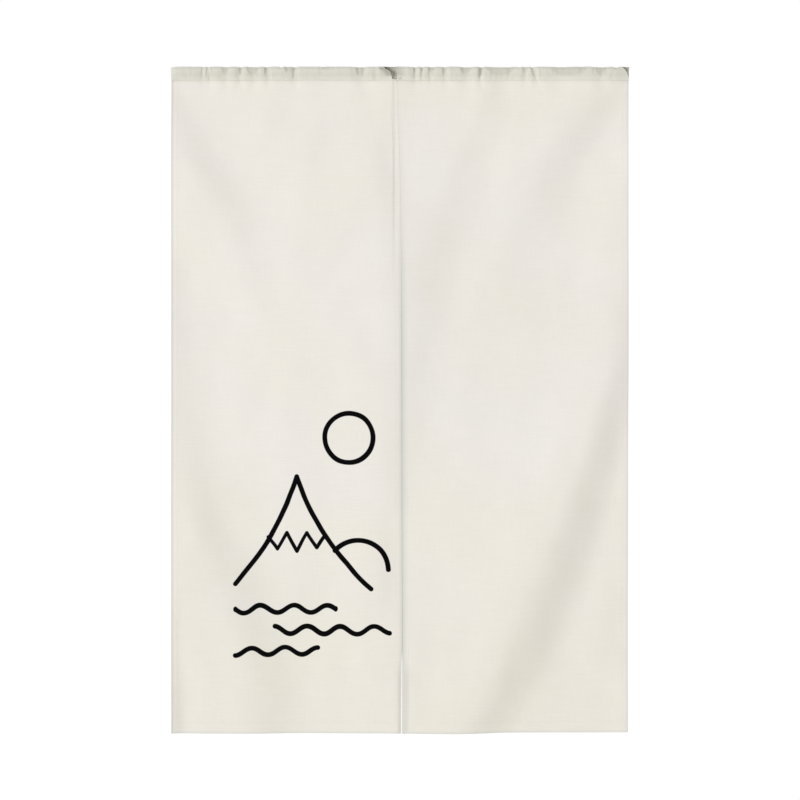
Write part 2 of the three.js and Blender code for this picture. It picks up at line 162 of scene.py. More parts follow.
# Sharp little tucks in the pocket's front: x, depth, half width, lowest and highest share of its
# height, lean. Each one's ends fade over a share of the height.
TUCK_ENDS = {"foot": (-0.08, 0.12), "head": 0.2}
TUCK_SHARPNESS = 1.6
TUCKS = in_metres((
    (-354, 1, 1.1, 0.1, 1, 3), (-345, 1, 1.1, 0, 0.9, 4), (-338, 0.6, 1.2, 0.2, 0.8, 0),
    (-286, 1.3, 1.7, 0.42, 1, 0), (-240, 1.1, 1.6, 0.3, 0.95, 3), (-202, 0.7, 1.5, 0.55, 1, 2),
    (-189.5, 1.5, 2, 0.1, 1, 2), (-137, 0.6, 1.4, 0.7, 1, 0), (-119, 0.6, 1.4, 0.72, 1, 0),
    (-75, 0.9, 2, 0.25, 0.95, 0), (-66, 0.8, 1.8, 0.2, 0.95, 0), (27, 1.1, 1.4, 0.15, 1, 1),
    (39.6, 1.1, 1.4, 0.2, 1, 1), (53, 1, 1.3, 0.3, 1, 2), (61, 1, 1.4, 0.25, 1, 1),
    (80, 1, 1.6, 0.25, 1, 2), (93, 0.5, 1.4, 0.4, 0.9, 0), (147.6, 2, 1.9, 0.2, 1, 5),
    (198, 0.7, 1.4, 0.6, 1, 0), (236, 2, 1.9, 0.25, 1, -7), (253, 0.6, 1.4, 0.05, 0.6, 0),
    (348, 0.8, 2, 0.4, 1, 0), (371, 0.9, 1.9, 0.35, 1, 1),
), shares=[3, 4])
# Hollows under the pocket's top, each with a curved ledge below it: x, half width, the ledge's
# height as a share, depth.
HOLLOWS = in_metres((
    (-313, 8, 0.42, 1), (-286, 5, 0.42, 0.8), (-264, 12, 0.34, 1.4), (-239, 5, 0.4, 0.8),
    (-197, 13, 0.52, 1.3), (-132, 10, 0.72, 0.6), (-71, 10, 0.34, 1.2), (27, 4, 0.5, 1),
    (40, 3, 0.55, 0.8), (57, 7, 0.55, 1.2), (80, 6, 0.42, 1), (119, 12, 0.42, 1.3), (146, 4, 0.3, 1.2),
    (182, 29, 0.32, 1.3), (225, 6, 0.48, 1.2), (304, 38, 0.26, 0.6), (361, 12, 0.38, 1.2),
), shares=[2])
# The ledge's curve rises this far at its sides. The hollow comes in over the first two shares of
# height about the ledge, and goes out from the third share of its half width, and so does the
# painted shade in it.
LEDGE_SIDES = 1.05
HOLLOW_ENDS = {"deep": (-0.05, 0.10, 0.85), "dim": (-0.16, 0.20, 0.70)}
HOLLOW_AT_SEAM = 0.4
# Nicks in the pocket's top line: x, depth, half width.
NICKS = in_metres((
    (-411.5, 2, 5), (-214, 1.7, 3), (214, 1.6, 2.6), (388, 1.8, 4),
))
# How much painted shade a pocket's bulge, hollows and furrows have, how deep a full furrow is, and
# over what height the bulge's painted shade comes in. The painted shade thins out at the top line and
# at the left corner.
POCKET_SHADE = {"bulge": 0.44, "hollow": 0.34, "furrow": 0.30, "full_furrow": 0.0012}
SHADE_HEIGHTS = (0.04, 0.40)
SHADE_THINS = {"top_line": 0.8, "corner": (-0.004, 0.016)}
# A pocket's front has painted shade beside a mouth that is cut back.
LIP_SHADE = 0.20
# The pocket's top line is painted paler and less yellow: a painted highlight for the light that comes
# over it from behind.
TOP_LINE = {"from": 0.870, "full": 0.960, "red": 0.22, "green": 0.225, "blue": 0.34}

# Folds: the cloth stands forward to the left of each line and back to the right of it.
# Each row is x, z, depth and half width, in millimetres.
FOLDS = {
    "left_shoulder": (
        (-430, -10, 2, 28), (-362, -151, 4.2, 36), (-323, -214, 4.6, 38), (-268, -331, 2.4, 42),
        (-238, -390, 0.9, 44), (-207, -460, 0, 46),
    ),
    "left_edge": (
        (-398, -240, 0, 34), (-400, -360, 2.4, 36), (-396, -560, 2.6, 38), (-376, -700, 3.2, 42),
        (-355, -777, 4.6, 42), (-331, -842, 5.2, 44), (-297, -907, 5.2, 50), (-274, -971, 5.2, 54),
        (-248, -1036, 5, 52), (-232, -1110, 4.4, 48), (-228, -1230, 3.6, 46),
    ),
    "left_foot": (
        (-404, -940, 0, 12), (-404, -1020, 1.2, 13), (-402, -1120, 1.6, 14), (-400, -1230, 1.8, 14),
    ),
    "slit_foot": (
        (-34, -800, 0, 20), (-28, -880, 1.4, 22), (-24, -950, 1.2, 22), (-20, -1020, 0, 20),
    ),
    "slit_head": (
        (-44, -90, 0, 22), (-34, -160, 1.6, 24), (-30, -230, 1.2, 26), (-34, -320, 0, 28),
    ),
    "right_shoulder": (
        (425, 10, 2.2, 28), (346, -97, 5.6, 42), (290, -178, 7.6, 54), (254, -259, 7, 58),
        (224, -331, 5, 56), (190, -390, 3.2, 52), (165, -455, 0, 50),
    ),
    "right_middle": (
        (186, -26, 0.8, 34), (135, -151, 4, 44), (104, -241, 6.2, 52), (66, -349, 5, 50),
        (54, -475, 2.6, 44), (45, -600, 0, 40),
    ),
    "main_drag": (
        (404, -360, 0, 30), (404, -520, 4, 32), (380, -643, 8.2, 40), (340, -777, 10.8, 48),
        (299, -907, 13.2, 57), (273, -971, 14.2, 61), (245, -1036, 13.2, 57), (174, -1166, 9.6, 48),
        (134, -1230, 8, 46),
    ),
    "right_foot": (
        (392, -880, 0, 26), (388, -970, 1.2, 28), (382, -1050, 1, 30), (376, -1130, 0, 32),
    ),
}
FOLD_LINE_STEPS = 30
# Beyond its half width a fold levels off slowly, over this many times the length. To the right of
# some folds the cloth stays back.
LEVELLING = 1.7
STAYS_BACK = ("main_drag",)

# Soft unevenness of cloth that has been folded away: how many ripples, their lengths and height,
# how much longer they are up and down, and their usual height as a share of the highest.
RIPPLES = {"count": 46, "shortest": 0.045, "longest": 0.170, "height": 0.00030, "seed": 7}
RIPPLE_SHARES = {"upright": 0.6, "usual": 0.35}
# Short creases: x, z from, z to, depth, half width.
CREASES = in_metres((
    (12.6, -48, -94, 0.5, 1.2), (-347, -24, -40, 0.6, 1.4), (68, -24, -44, 0.5, 2),
    (253, -22, -46, 0.5, 1.8), (-186, -24, -38, 0.4, 3), (146, -24, -40, 0.4, 2.6),
))

# The net of the cloth. Offsets are from a side edge and from the bottom edge.
EDGE_COLUMNS = np.array([0, 0.12, 0.4, 0.85, 1.6, 3, 5, 7.5, 10, 12.3, 12.8, 13.3, 15, 18, 21.5]) * 0.001
FOOT_ROWS = np.array([0, 0.12, 0.4, 0.85, 1.6, 3, 6, 10, 15, 19, 21.2, 21.8, 22.3, 24.5, 28]) * 0.001
CLOTH_COLUMNS = 92
CLOTH_ROWS = 240
POCKET_STATION = 0.0011
POCKET_LOOP_STEPS = 24
# The cloth round a pocket, in pocket heights.
ROUND_POCKET = 2.3

# The curtain is as wide in the picture as it is in the photograph, in pixels.
FRAME_PIXELS = 800
CURTAIN_PIXELS = 457.4
CAMERA_DISTANCE = 3.6
SENSOR = 36


def smoothstep(x, low, high):
    t = np.clip((x - low) / (high - low), 0, 1)
    return t * t * (3 - 2 * t)


def fading(x, low, high):
    """1 up to low, and down to 0 from high on."""
    return 1 - smoothstep(x, low, high)


def below(z, span):
    """How far z has come on its way down a span, from 0 to 1."""
    return smoothstep(-z, -span["from"], -span["full"])


def bell(x, centre, width):
    return np.exp(-(((x - centre) / width) ** 2))


def stacked(*parts):
    """Arrays side by side, such as x, y and z as points."""
    return np.stack(parts, axis=-1)


def smooth_line(rows, steps):
    """A smooth curve through the rows, each of any number of values, as steps + 1 rows."""
    points = np.array(rows, float)
    around = np.vstack([2 * points[0] - points[1], points, 2 * points[-1] - points[-2]])
    place = np.linspace(0, len(points) - 1, steps + 1)
    first = np.minimum(place.astype(int), len(points) - 2)
    t = (place - first)[:, None]
    before, start, end, after = (around[first + i] for i in range(4))
    enter = (end - before) / 2
    leave = (after - start) / 2
    square = 3 * (end - start) - 2 * enter - leave
    cube = 2 * (start - end) + enter + leave
    return start + enter * t + square * t**2 + cube * t**3


FOLD_LINES = [
    (smooth_line(in_metres(rows), FOLD_LINE_STEPS), name in STAYS_BACK) for name, rows in FOLDS.items()
]


def fold_wave(across, stays_back):
    """How far a fold moves the cloth back, as a share of its depth, at so many half widths across."""
    beyond = np.maximum(np.abs(across) - 1, 0)
    place = np.sign(across) * (np.abs(across) - beyond + beyond / LEVELLING)
    wave = place * np.exp((1 - place**2) / 2)
    return np.where(across > 1, 1, wave) if stays_back else wave


def fold_depth(line, stays_back, x, z):
    """How far one fold moves the cloth back."""
    nearest = np.full(x.shape, np.inf)
    moved = np.zeros(x.shape)
    for a, b in zip(line[:-1], line[1:]):
        along_x, along_z = b[0] - a[0], b[1] - a[1]
        share = ((x - a[0]) * along_x + (z - a[1]) * along_z) / (along_x**2 + along_z**2)
        t = np.clip(share, 0, 1)
        off_x = x - a[0] - along_x * t
        off_z = z - a[1] - along_z * t
        distance = np.hypot(off_x, off_z)
        side = np.sign(along_x * off_z - along_z * off_x)
        depth = np.maximum(a[2], 0) * (1 - t) + np.maximum(b[2], 0) * t
        across = side * distance / (a[3] * (1 - t) + b[3] * t)
        closer = distance < nearest
        nearest = np.where(closer, distance, nearest)
        moved = np.where(closer, depth * fold_wave(across, stays_back), moved)
    return moved


def gather_depth(x, z):
    """How deep the gathers are. Below the seam they grow wide and shallow, and die out."""
    drop = np.maximum(-POCKET_HEIGHT - z, 0)
    total = np.zeros(np.broadcast(x, z).shape)
    for at, depth, wide, lean in GATHERS:
        centre = at + lean * np.minimum(-z, 2 * POCKET_HEIGHT) / POCKET_HEIGHT
        width = np.hypot(wide, drop * GATHER_WIDENING)
        fade = np.exp(-drop / (GATHER_REACH["least"] + GATHER_REACH["per_width"] * wide))
        total += depth * wide / width * fade * bell(x, centre, width)
    return total


def hang(x, z):
    """The front face of the cloth, before its edges and the lap."""
    y = GATHER_SHARE["front"] * gather_depth(x, z)
    for line, stays_back in FOLD_LINES:
        y = y + fold_depth(line, stays_back, x, z)
    return y


def ripples(x, z):
    """Low ripples in all directions, the same each time."""
    rng = np.random.default_rng(RIPPLES["seed"])
    total = np.zeros(np.broadcast(x, z).shape)
    for _ in range(RIPPLES["count"]):
        length = np.exp(rng.uniform(np.log(RIPPLES["shortest"]), np.log(RIPPLES["longest"])))
        turn = rng.uniform(0, np.pi)
        phase = rng.uniform(0, 2 * np.pi)
        along = x * np.cos(turn) + z * RIPPLE_SHARES["upright"] * np.sin(turn)
        total += length * np.sin(2 * np.pi * along / length + phase)
    usual = RIPPLES["longest"] * math.sqrt(RIPPLES["count"]) * RIPPLE_SHARES["usual"]
    return total * RIPPLES["height"] / usual


def creases(x, z):
    total = np.zeros(np.broadcast(x, z).shape)
    for at, top, foot, depth, width in CREASES:
        middle, reach = (top + foot) / 2, abs(top - foot) / 2
        total += depth * bell(x, at, width) * np.exp(-(((z - middle) / reach) ** 4))
    return total


def table_value(rows, at):
    """The second value of a table's rows, read at a place along the first."""
    places, values = zip(*sorted(rows))
    return np.interp(at, places, values)


def panel_edges(side, z):
    """x of the left and right edge of a panel at height z."""
    outer = np.full(np.shape(z), HALF_WIDTH)
    if side == "left":
        return -outer, table_value(LEFT_SLIT, z)
    return table_value(RIGHT_SLIT, z), outer


def slit_relief(x, z):
    """How far both layers lie back along the slit: the dip beside it and the crease of the join."""
    edge = table_value(LEFT_SLIT, z)
    width = np.where(x > edge, SLIT_DIP["right"], SLIT_DIP["left"])
    dip = SLIT_DIP["depth"] * below(z, SLIT_DIP) * bell(x, edge, width)
    sharp = smoothstep(x, JOIN["x"] - JOIN["edge"], JOIN["x"])
    recovery = np.exp(-np.maximum(x - JOIN["x"], 0) / JOIN["recovery"])
    return dip + JOIN["depth"] * (1 - below(z, JOIN)) * sharp * recovery


def hem_pucker(hem, off_edge, along):
    """How far the stitches of a side or bottom hem push its cloth back."""
    sway = PUCKER_SWAY["by"] * np.sin(along * PUCKER_SWAY[hem])
    beat = np.sin(2 * np.pi * along / HEM_STITCHES["pitch"] + sway)
    return HEM_STITCHES["pucker"] * beat * bell(off_edge, HEM_STITCHES[hem], HEM_STITCHES["reach"])


def cloth_front(side, x, z):
    """y of a panel's front face, how far in from a side edge it is, and the share of its thickness
    that the pressed lap keeps."""
    low, high = panel_edges(side, z)
    from_outer, from_slit = (x - low, high - x) if side == "left" else (high - x, x - low)
    to_side = np.minimum(from_outer, from_slit)
    lapped = 1 - below(z, LAP)
    near_slit = fading(np.abs(x - LAP["middle"]), LAP["width"], LAP["width"] + LAP["reach"])
    pressed = 1 - (1 - table_value(PRESSED_LAP, z)) * near_slit
    forward = -1 if side == "left" else 1
    y = hang(x, z) + forward * LAP["depth"] * pressed * lapped * near_slit
    free = 1 - lapped * fading(from_slit, 0, LAP["reach"])
    y = y + free * EDGE_ROLL["back"] * fading(to_side, 0, EDGE_ROLL["reach"])
    foot_back, foot_reach = FOOT_ROLL[side]
    y = y + below(z, FOOT_ROLL) * foot_back * fading(from_slit, 0, foot_reach)
    y = y + ripples(x, z) + slit_relief(x, z) + creases(x, z)
    y = y + hem_pucker("side", to_side, z) + hem_pucker("bottom", z + HEIGHT, x)
    return y, to_side, pressed


def painted_panel_shade(side, x, z, to_foot):
    """How much painted shade a panel's cloth has, from 0 to 1, along its edges and its slit."""
    outer = GREY_EDGE[side] * fading(HALF_WIDTH - np.abs(x), 0, GREY_EDGE["reach"])
    foot = GREY_EDGE["foot"] * fading(to_foot, 0, GREY_EDGE["reach"])
    off_slit = x - table_value(LEFT_SLIT, z)
    parted = below(z, FOOT_ROLL)
    if side == "right":
        share = GREY_SLIT["head"] + (1 - GREY_SLIT["head"]) * below(z, GREY_SLIT)
        share = share * (1 - (1 - GREY_SLIT["foot"]) * parted)
        reach = GREY_SLIT["reach"] + (GREY_SLIT["foot_reach"] - GREY_SLIT["reach"]) * parted
        slit = GREY_SLIT["most"] * share * fading(off_slit, GREY_SLIT["start"], reach)
    else:
        edge = GREY_LEFT["edge"] * fading(-off_slit, 0, GREY_LEFT["reach"])
        beside = GREY_LEFT["beside"] * bell(off_slit, -GREY_LEFT["inset"], GREY_LEFT["width"])
        slit = edge * (1 - parted) + beside * parted
    return np.maximum(np.maximum(outer, foot), slit)


def panel_tint(x, z):
    """What a panel's colour is multiplied by: broad paler and darker areas, partly painted light and
    shade, painted shade just below the seam, and yellower ends.
    """
    tone = np.ones(x.shape)
    for at_x, at_z, half_wide, half_high, paler in SOFT_AREAS:
        tone += paler * bell(x, at_x, half_wide) * bell(z, at_z, half_high)
    drop = -POCKET_HEIGHT - z
    tone *= 1 - BELOW_SEAM["shade"] * fading(drop, 0, BELOW_SEAM["reach"])
    head = YELLOW_HEAD["most"] * fading(drop, *YELLOW_HEAD["fades"])
    yellow = np.maximum(head, below(z, YELLOW_FOOT))
    return stacked(*(tone * (1 - hue * yellow) for hue in YELLOWING.values()))


def pocket_tint(height, lip):
    """The same for a pocket's outside: a painted highlight on top, paler and less yellow, and painted
    shade beside a mouth.
    """
    top = smoothstep(height, TOP_LINE["from"], TOP_LINE["full"])
    return stacked(*((1 + TOP_LINE[hue] * top) * (1 - LIP_SHADE * lip) for hue in ("red", "green", "blue")))


def add_object(name, data):
    """A new object at the origin, in the scene."""
    made = bpy.data.objects.new(name, data)
    bpy.context.scene.collection.objects.link(made)
    return made


def grid_faces(rows, columns, closed_loop):
    """Quads between the points of a grid, row by row."""
    wide = columns if closed_loop else columns - 1
    r, c = np.meshgrid(np.arange(rows - 1) * columns, np.arange(wide), indexing="ij")
    after = (c + 1) % columns
    return stacked(r + c, r + columns + c, r + columns + after, r + after).reshape(-1, 4)


def shell(name, front, back, flat, painted_shade, tints, closed_loop=False):
    """A closed mesh object from a front and a back grid.

    flat is each point's place across and along the flat cloth, and the argument after it is how much
    painted shade the cloth has there: how far its colour is mixed towards its shaded colour. tints are
    what its colour is multiplied by, on the front and on the back.
    """
    rows, columns = front.shape[:2]
    count = rows * columns
    sheet = grid_faces(rows, columns, closed_loop)
    c = np.arange(columns if closed_loop else columns - 1)
    after = (c + 1) % columns
    last = (rows - 1) * columns
    rims = [(c, after, after + count, c + count)]
    rims.append((last + c, last + c + count, last + after + count, last + after))
    if not closed_loop:
        r = np.arange(rows - 1) * columns
        s = r + columns
        end = columns - 1
        rims += [(r, r + count, s + count, s), (r + end, s + end, s + end + count, r + end + count)]
    quads = [sheet, sheet[:, ::-1] + count] + [stacked(*rim) for rim in rims]
    points = np.concatenate([front.reshape(-1, 3), back.reshape(-1, 3)])
    mesh = bpy.data.meshes.new(name)
    mesh.from_pydata(points.tolist(), [], np.concatenate(quads).tolist())
    # The third value of a place is 1 on the outer face of the cloth and 0 on its inner face.
    places = [stacked(*flat, np.full((rows, columns), layer)) for layer in (1.0, 0.0)]
    for attribute, sides in (("cloth_place", places), ("cloth_painted_shade", (painted_shade, painted_shade)), ("cloth_tint", tints)):
        kind, key = ("FLOAT", "value") if sides[0].ndim == 2 else ("FLOAT_VECTOR", "vector")
        values = np.concatenate([part.ravel() for part in sides])
        mesh.attributes.new(attribute, kind, "POINT").data.foreach_set(key, values)
    mesh.shade_smooth()
    mesh.update()
    return add_object(name, mesh)


def panel_cloth(side):
    """One hung panel: a thin sheet with its hems turned to the back."""
    foot = -HEIGHT + FOOT_ROWS
    head = np.linspace(-POCKET_HEIGHT + TUCKED_INTO_POCKET, foot[-1], CLOTH_ROWS)[:-1]
    z = np.concatenate([head, foot[::-1]])
    low, high = panel_edges(side, z)
    first = low[:, None] + EDGE_COLUMNS
    final = high[:, None] - EDGE_COLUMNS[::-1]
    middle = first[:, -1:] + (final[:, :1] - first[:, -1:]) * np.linspace(0, 1, CLOTH_COLUMNS)[1:-1]
    x = np.hstack([first, middle, final])
    z = np.broadcast_to(z[:, None], x.shape)
    y, to_side, pressed = cloth_front(side, x, z)
    to_foot = z + HEIGHT
    hems = ((to_side, SIDE_HEM), (to_foot, BOTTOM_HEM))
    in_hem = np.maximum(*(fading(off, hem + HEM_STEP[0], hem + HEM_STEP[1]) for off, hem in hems))
    thick = (CANVAS + HEM_LAYERS * in_hem) * pressed
    inward = np.clip(1 - np.minimum(to_side, to_foot) / (thick / 2), 0, 1)
    half = np.maximum(thick / 2 * np.sqrt(1 - inward**2), THINNEST_EDGE)
    front, back = (stacked(x, y + thick / 2 + turned * half, z) for turned in (-1, 1))
    tint = panel_tint(x, z)
    return shell(f"panel_cloth_{side}", front, back, (x, z), painted_panel_shade(side, x, z, to_foot), (tint, tint))


def fine_gathers(x, height, side):
    """Many narrow puckers between the main gathers, and the sharp tucks."""
    rng = np.random.default_rng(FINE_SEEDS[side])
    start, end = (mouth[0] for mouth in POCKET_ENDS[side])
    total = np.zeros(np.broadcast(x, height).shape)
    for _ in range(FINE_GATHERS["count"]):
        at = rng.uniform(start, end)
        width = rng.uniform(*FINE_GATHERS["width"])
        depth = rng.uniform(*FINE_GATHERS["depth"]) * width
        lean = rng.uniform(*FINE_GATHERS["lean"])
        middle = rng.choice(FINE_HEIGHTS["deepest"])
        reach = rng.uniform(*FINE_HEIGHTS["reach"])
        total += depth * bell(height, middle, reach) * bell(x, at + lean * height, width)
    before, beyond = TUCK_ENDS["foot"]
    for at, depth, width, low, high, lean in TUCKS:
        window = smoothstep(height, low + before, low + beyond)
        window = window * fading(height, high, high + TUCK_ENDS["head"])
        off = np.abs((x - at + lean * (1 - height)) / width)
        total += depth * window * np.exp(-(off**TUCK_SHARPNESS))
    return total


def hollows(x, height):
    """The hollows under the pocket's top: how deep they are, and how far into one a point is."""
    deep = np.zeros(np.broadcast(x, height).shape)
    inside = np.zeros(deep.shape)
    for at, half, ledge, depth in HOLLOWS:
        off = np.clip(np.abs(x - at) / half, 0, 1)
        rim = ledge + (LEDGE_SIDES - ledge) * off**3
        share, dim = (
            smoothstep(height, rim + start, rim + end) * fading(off, side, 1.0)
            for start, end, side in HOLLOW_ENDS.values()
        )
        deep += depth * share * (HOLLOW_AT_SEAM + (1 - HOLLOW_AT_SEAM) * np.clip(height, 0, 1))
        inside = np.maximum(inside, dim)
    return deep, inside


def pocket_shape(turn):
    """The teardrop at a turn round it: height as a share, swell to the front, and tip."""
    height = (1 - np.cos(turn)) / 2
    swell = np.sin(turn) * np.abs(np.sin(turn / 2)) / TEARDROP_PEAK
    tip = np.sign(np.pi - turn) * (1 - height) * SEAM_THICKNESS / 2
    return height, swell, tip


def pocket_cloth(side):
    """One rod pocket: a teardrop sleeve, open at both ends, gathered and drawn in at its seam."""
    first, last = POCKET_ENDS[side]
    count = round((last[0] - first[0]) / POCKET_STATION)
    station = np.linspace(first[0], last[0], count + 1)[:, None]
    turn = np.linspace(0, 2 * np.pi, 2 * POCKET_LOOP_STEPS + 1)[None, :]
    height, swell, tip = pocket_shape(turn)
    is_front = np.arange(turn.size) <= POCKET_LOOP_STEPS
    slant = (height - MOUTH_HEIGHTS["slant"]) / (1 - MOUTH_HEIGHTS["slant"])
    follows = np.where(is_front, 1, np.maximum(0, slant))
    x = np.broadcast_to(station, (count + 1, turn.size))
    mouth_shade = np.zeros(x.shape)
    for (end, mouth, front_keeps, back_keeps, shaded, reaches), inward in ((first, 1), (last, -1)):
        from_end = np.abs(station - end)
        out = (1 - follows) * reaches * smoothstep(height, 0, MOUTH_HEIGHTS["out"])
        drawn = follows * table_value(mouth, height) - out
        x = x + inward * drawn * fading(from_end, 0, MOUTH["drawn"])
        lost = (1 - np.where(is_front, front_keeps, back_keeps)) * fading(from_end, 0, MOUTH["pressed"])
        swell = swell * (1 - lost)
        near = fading(from_end, 0, MOUTH["shaded"]) * smoothstep(height, *MOUTH_HEIGHTS["shade"])
        mouth_shade = mouth_shade + shaded * near * is_front
    rise = -POCKET_HEIGHT * (1 - height)
    gather = gather_depth(x, np.broadcast_to(rise, x.shape))
    fine = fine_gathers(x, height, side)
    hollow, in_hollow = hollows(x, height)
    pressed = gather * np.where(is_front, GATHER_SHARE["front"], GATHER_SHARE["back"])
    dip = (gather * GATHER_SHARE["top"] + FINE_HEIGHTS["at_top"] * fine) * height**2
    for at, depth, width in NICKS:
        dip = dip + depth * bell(x, at, width) * height**3
    seam_shift = (1 - height) * hang(x, np.full(x.shape, -POCKET_HEIGHT))
    outward = np.sign(swell) * np.minimum(1, np.abs(swell) / FINE_HEIGHTS["full_swell"])
    outer_swell = swell * POCKET_DEPTH / 2 - swell * pressed - outward * (fine + hollow * is_front)
    inner_swell = outer_swell - swell * CANVAS
    inner_z = POCKET_SEAM + (POCKET_HEIGHT - POCKET_SEAM - CANVAS) * height - POCKET_HEIGHT - dip
    outer = stacked(x, seam_shift - outer_swell - tip, rise - dip)
    inner = stacked(x, seam_shift - inner_swell - tip * INNER_TIP, inner_z)
    around = np.broadcast_to(turn / (2 * np.pi) * ROUND_POCKET * POCKET_HEIGHT, x.shape)
    # Painted shade: the pocket's cloth is mixed towards HEADING_SHADE on its bulge, in its hollows and
    # furrows, and beside a cut-back mouth.
    bulge = POCKET_SHADE["bulge"] * smoothstep(height, *SHADE_HEIGHTS)
    furrow = POCKET_SHADE["furrow"] * np.clip(fine / POCKET_SHADE["full_furrow"], 0, 1)
    shade = bulge + POCKET_SHADE["hollow"] * in_hollow * is_front + furrow
    shade = shade * (1 - SHADE_THINS["top_line"] * smoothstep(height, TOP_LINE["from"], TOP_LINE["full"]))
    shade = shade * smoothstep(x + HALF_WIDTH, *SHADE_THINS["corner"]) + mouth_shade
    shade = np.clip(shade, 0, 1)
    tint = pocket_tint(np.broadcast_to(height, shade.shape), mouth_shade)
    tints = (tint, np.ones(tint.shape))
    return shell(f"rod_pocket_cloth_{side}", outer, inner, (x, around), shade, tints, closed_loop=True)


def pocket_face(x, z, facing):
    """y of the pocket's outside near its seam, on the front (-1) or the back (1)."""
    height = (z + POCKET_HEIGHT) / POCKET_HEIGHT
    _, swell, tip = pocket_shape(np.arccos(1 - 2 * height))
    shift = (1 - height) * hang(x, np.full(np.shape(x), -POCKET_HEIGHT))
    return shift + facing * (swell * POCKET_DEPTH / 2 + tip)


class Tree:
    """A node tree that is written like a formula."""

    def __init__(self, tree):
        self.tree = tree

    def feed(self, sockets, values):
        """Each socket, by its name or number, gets a value or a link from another socket."""
        for key, value in values.items():
            if isinstance(value, bpy.types.NodeSocket):
                self.tree.links.new(value, sockets[key])
            else:
                sockets[key].default_value = value

    def node(self, kind, values=(), **settings):
        """A new node, with its inputs fed in order, or by their name or number."""
        made = self.tree.nodes.new(kind)
        for key, value in settings.items():
            setattr(made, key, value)
        self.feed(made.inputs, values if isinstance(values, dict) else dict(enumerate(values)))
        return made

    def math(self, operation, *values, clamp=False):
        return self.node("ShaderNodeMath", values, operation=operation, use_clamp=clamp).outputs[0]

    def times(self, first, second):
        return self.math("MULTIPLY", first, second)

    def minus(self, first, second):
        return self.math("SUBTRACT", first, second)

    def vector(self, operation, *values):
        made = self.node("ShaderNodeVectorMath", values, operation=operation)
        return made.outputs["Value" if operation in ("LENGTH", "DISTANCE", "DOT_PRODUCT") else "Vector"]

    def split(self, value):
        return self.node("ShaderNodeSeparateXYZ", [value]).outputs

    def join(self, *values):
        return self.node("ShaderNodeCombineXYZ", values).outputs[0]

    def noise(self, place, scale, detail=2.0, roughness=0.5, colour=False):
        values = {"Vector": place, "Scale": scale, "Detail": detail, "Roughness": roughness}
        made = self.node("ShaderNodeTexNoise", values, noise_dimensions="3D")
        return made.outputs["Color" if colour else "Fac"]

    def shaken(self, place, scale, detail, by):
        """A place on the cloth, moved unevenly across and along it by up to half of by each way."""
        shift = self.vector("SUBTRACT", self.noise(place, scale, detail, colour=True), (0.5, 0.5, 0.5))
        return self.vector("ADD", place, self.vector("MULTIPLY", shift, (by, by, 0.0)))

    def ramp(self, value, from_low, from_high, to_low=0.0, to_high=1.0, smooth=True):
        values = (value, from_low, from_high, to_low, to_high)
        kind = "SMOOTHSTEP" if smooth else "LINEAR"
        return self.node("ShaderNodeMapRange", values, interpolation_type=kind).outputs[0]

    def mix(self, factor, first, second, blend="MIX"):
        values = {"Factor": factor, 6: first, 7: second}
        return self.node("ShaderNodeMix", values, data_type="RGBA", blend_type=blend).outputs[2]

    def bump(self, height, distance, strength=1.0, **more):
        values = {"Height": height, "Distance": distance, "Strength": strength, **more}
        return self.node("ShaderNodeBump", values).outputs["Normal"]

    def group(self, tree, **values):
        made = self.node("ShaderNodeGroup", node_tree=tree)
        self.feed(made.inputs, values)
        return made.outputs


def new_group(name, inputs, *outputs):
    """A shader node group with named sockets. An input is a vector if it has no value, or a number."""
    tree = bpy.data.node_groups.new(name, "ShaderNodeTree")
    for socket_name, value in inputs.items():
        kind = "NodeSocketVector" if value is None else "NodeSocketFloat"
        socket = tree.interface.new_socket(socket_name, in_out="INPUT", socket_type=kind)
        if value is not None:
            socket.default_value = value
    for socket_name in outputs:
        tree.interface.new_socket(socket_name, in_out="OUTPUT", socket_type="NodeSocketFloat")
    return Tree(tree), tree.nodes.new("NodeGroupInput").outputs, tree.nodes.new("NodeGroupOutput").inputs


def new_material(name):
    """A material, its node tree and the sockets of its shader."""
    material = bpy.data.materials.new(name)
    material.use_nodes = True
    t = Tree(material.node_tree)
    return material, t, t.tree.nodes["Principled BSDF"].inputs


# How many threads there are in a metre, how they wander and how sharply one crosses over another.
# Slubs are the uneven thickness along them, which also tones them.
WEAVE = {"threads": 1250.0, "wander": 0.0011, "wander_scale": 140.0, "crossing": 0.35}
SLUBS = {"amount": 0.5, "scale": 26.0, "tone": 0.09, "weft_place": 7.3}
# The broad and the close unevenness of tone, the warmer areas, and the soft creases.
MOTTLE = {"amount": 0.05, "broad": 8.0, "close": 45.0, "close_share": 0.4, "mean": 0.7}
WARMTH = {"scale": 5.0, "from": 0.35, "full": 0.65, "place": (3.1, 1.7, 0.0)}
WRINKLES = {"scale": 14.0, "closer": 3.4, "close_share": 0.3, "bend_scale": 8.0, "bend": (0.05, 0.09, 0.0)}


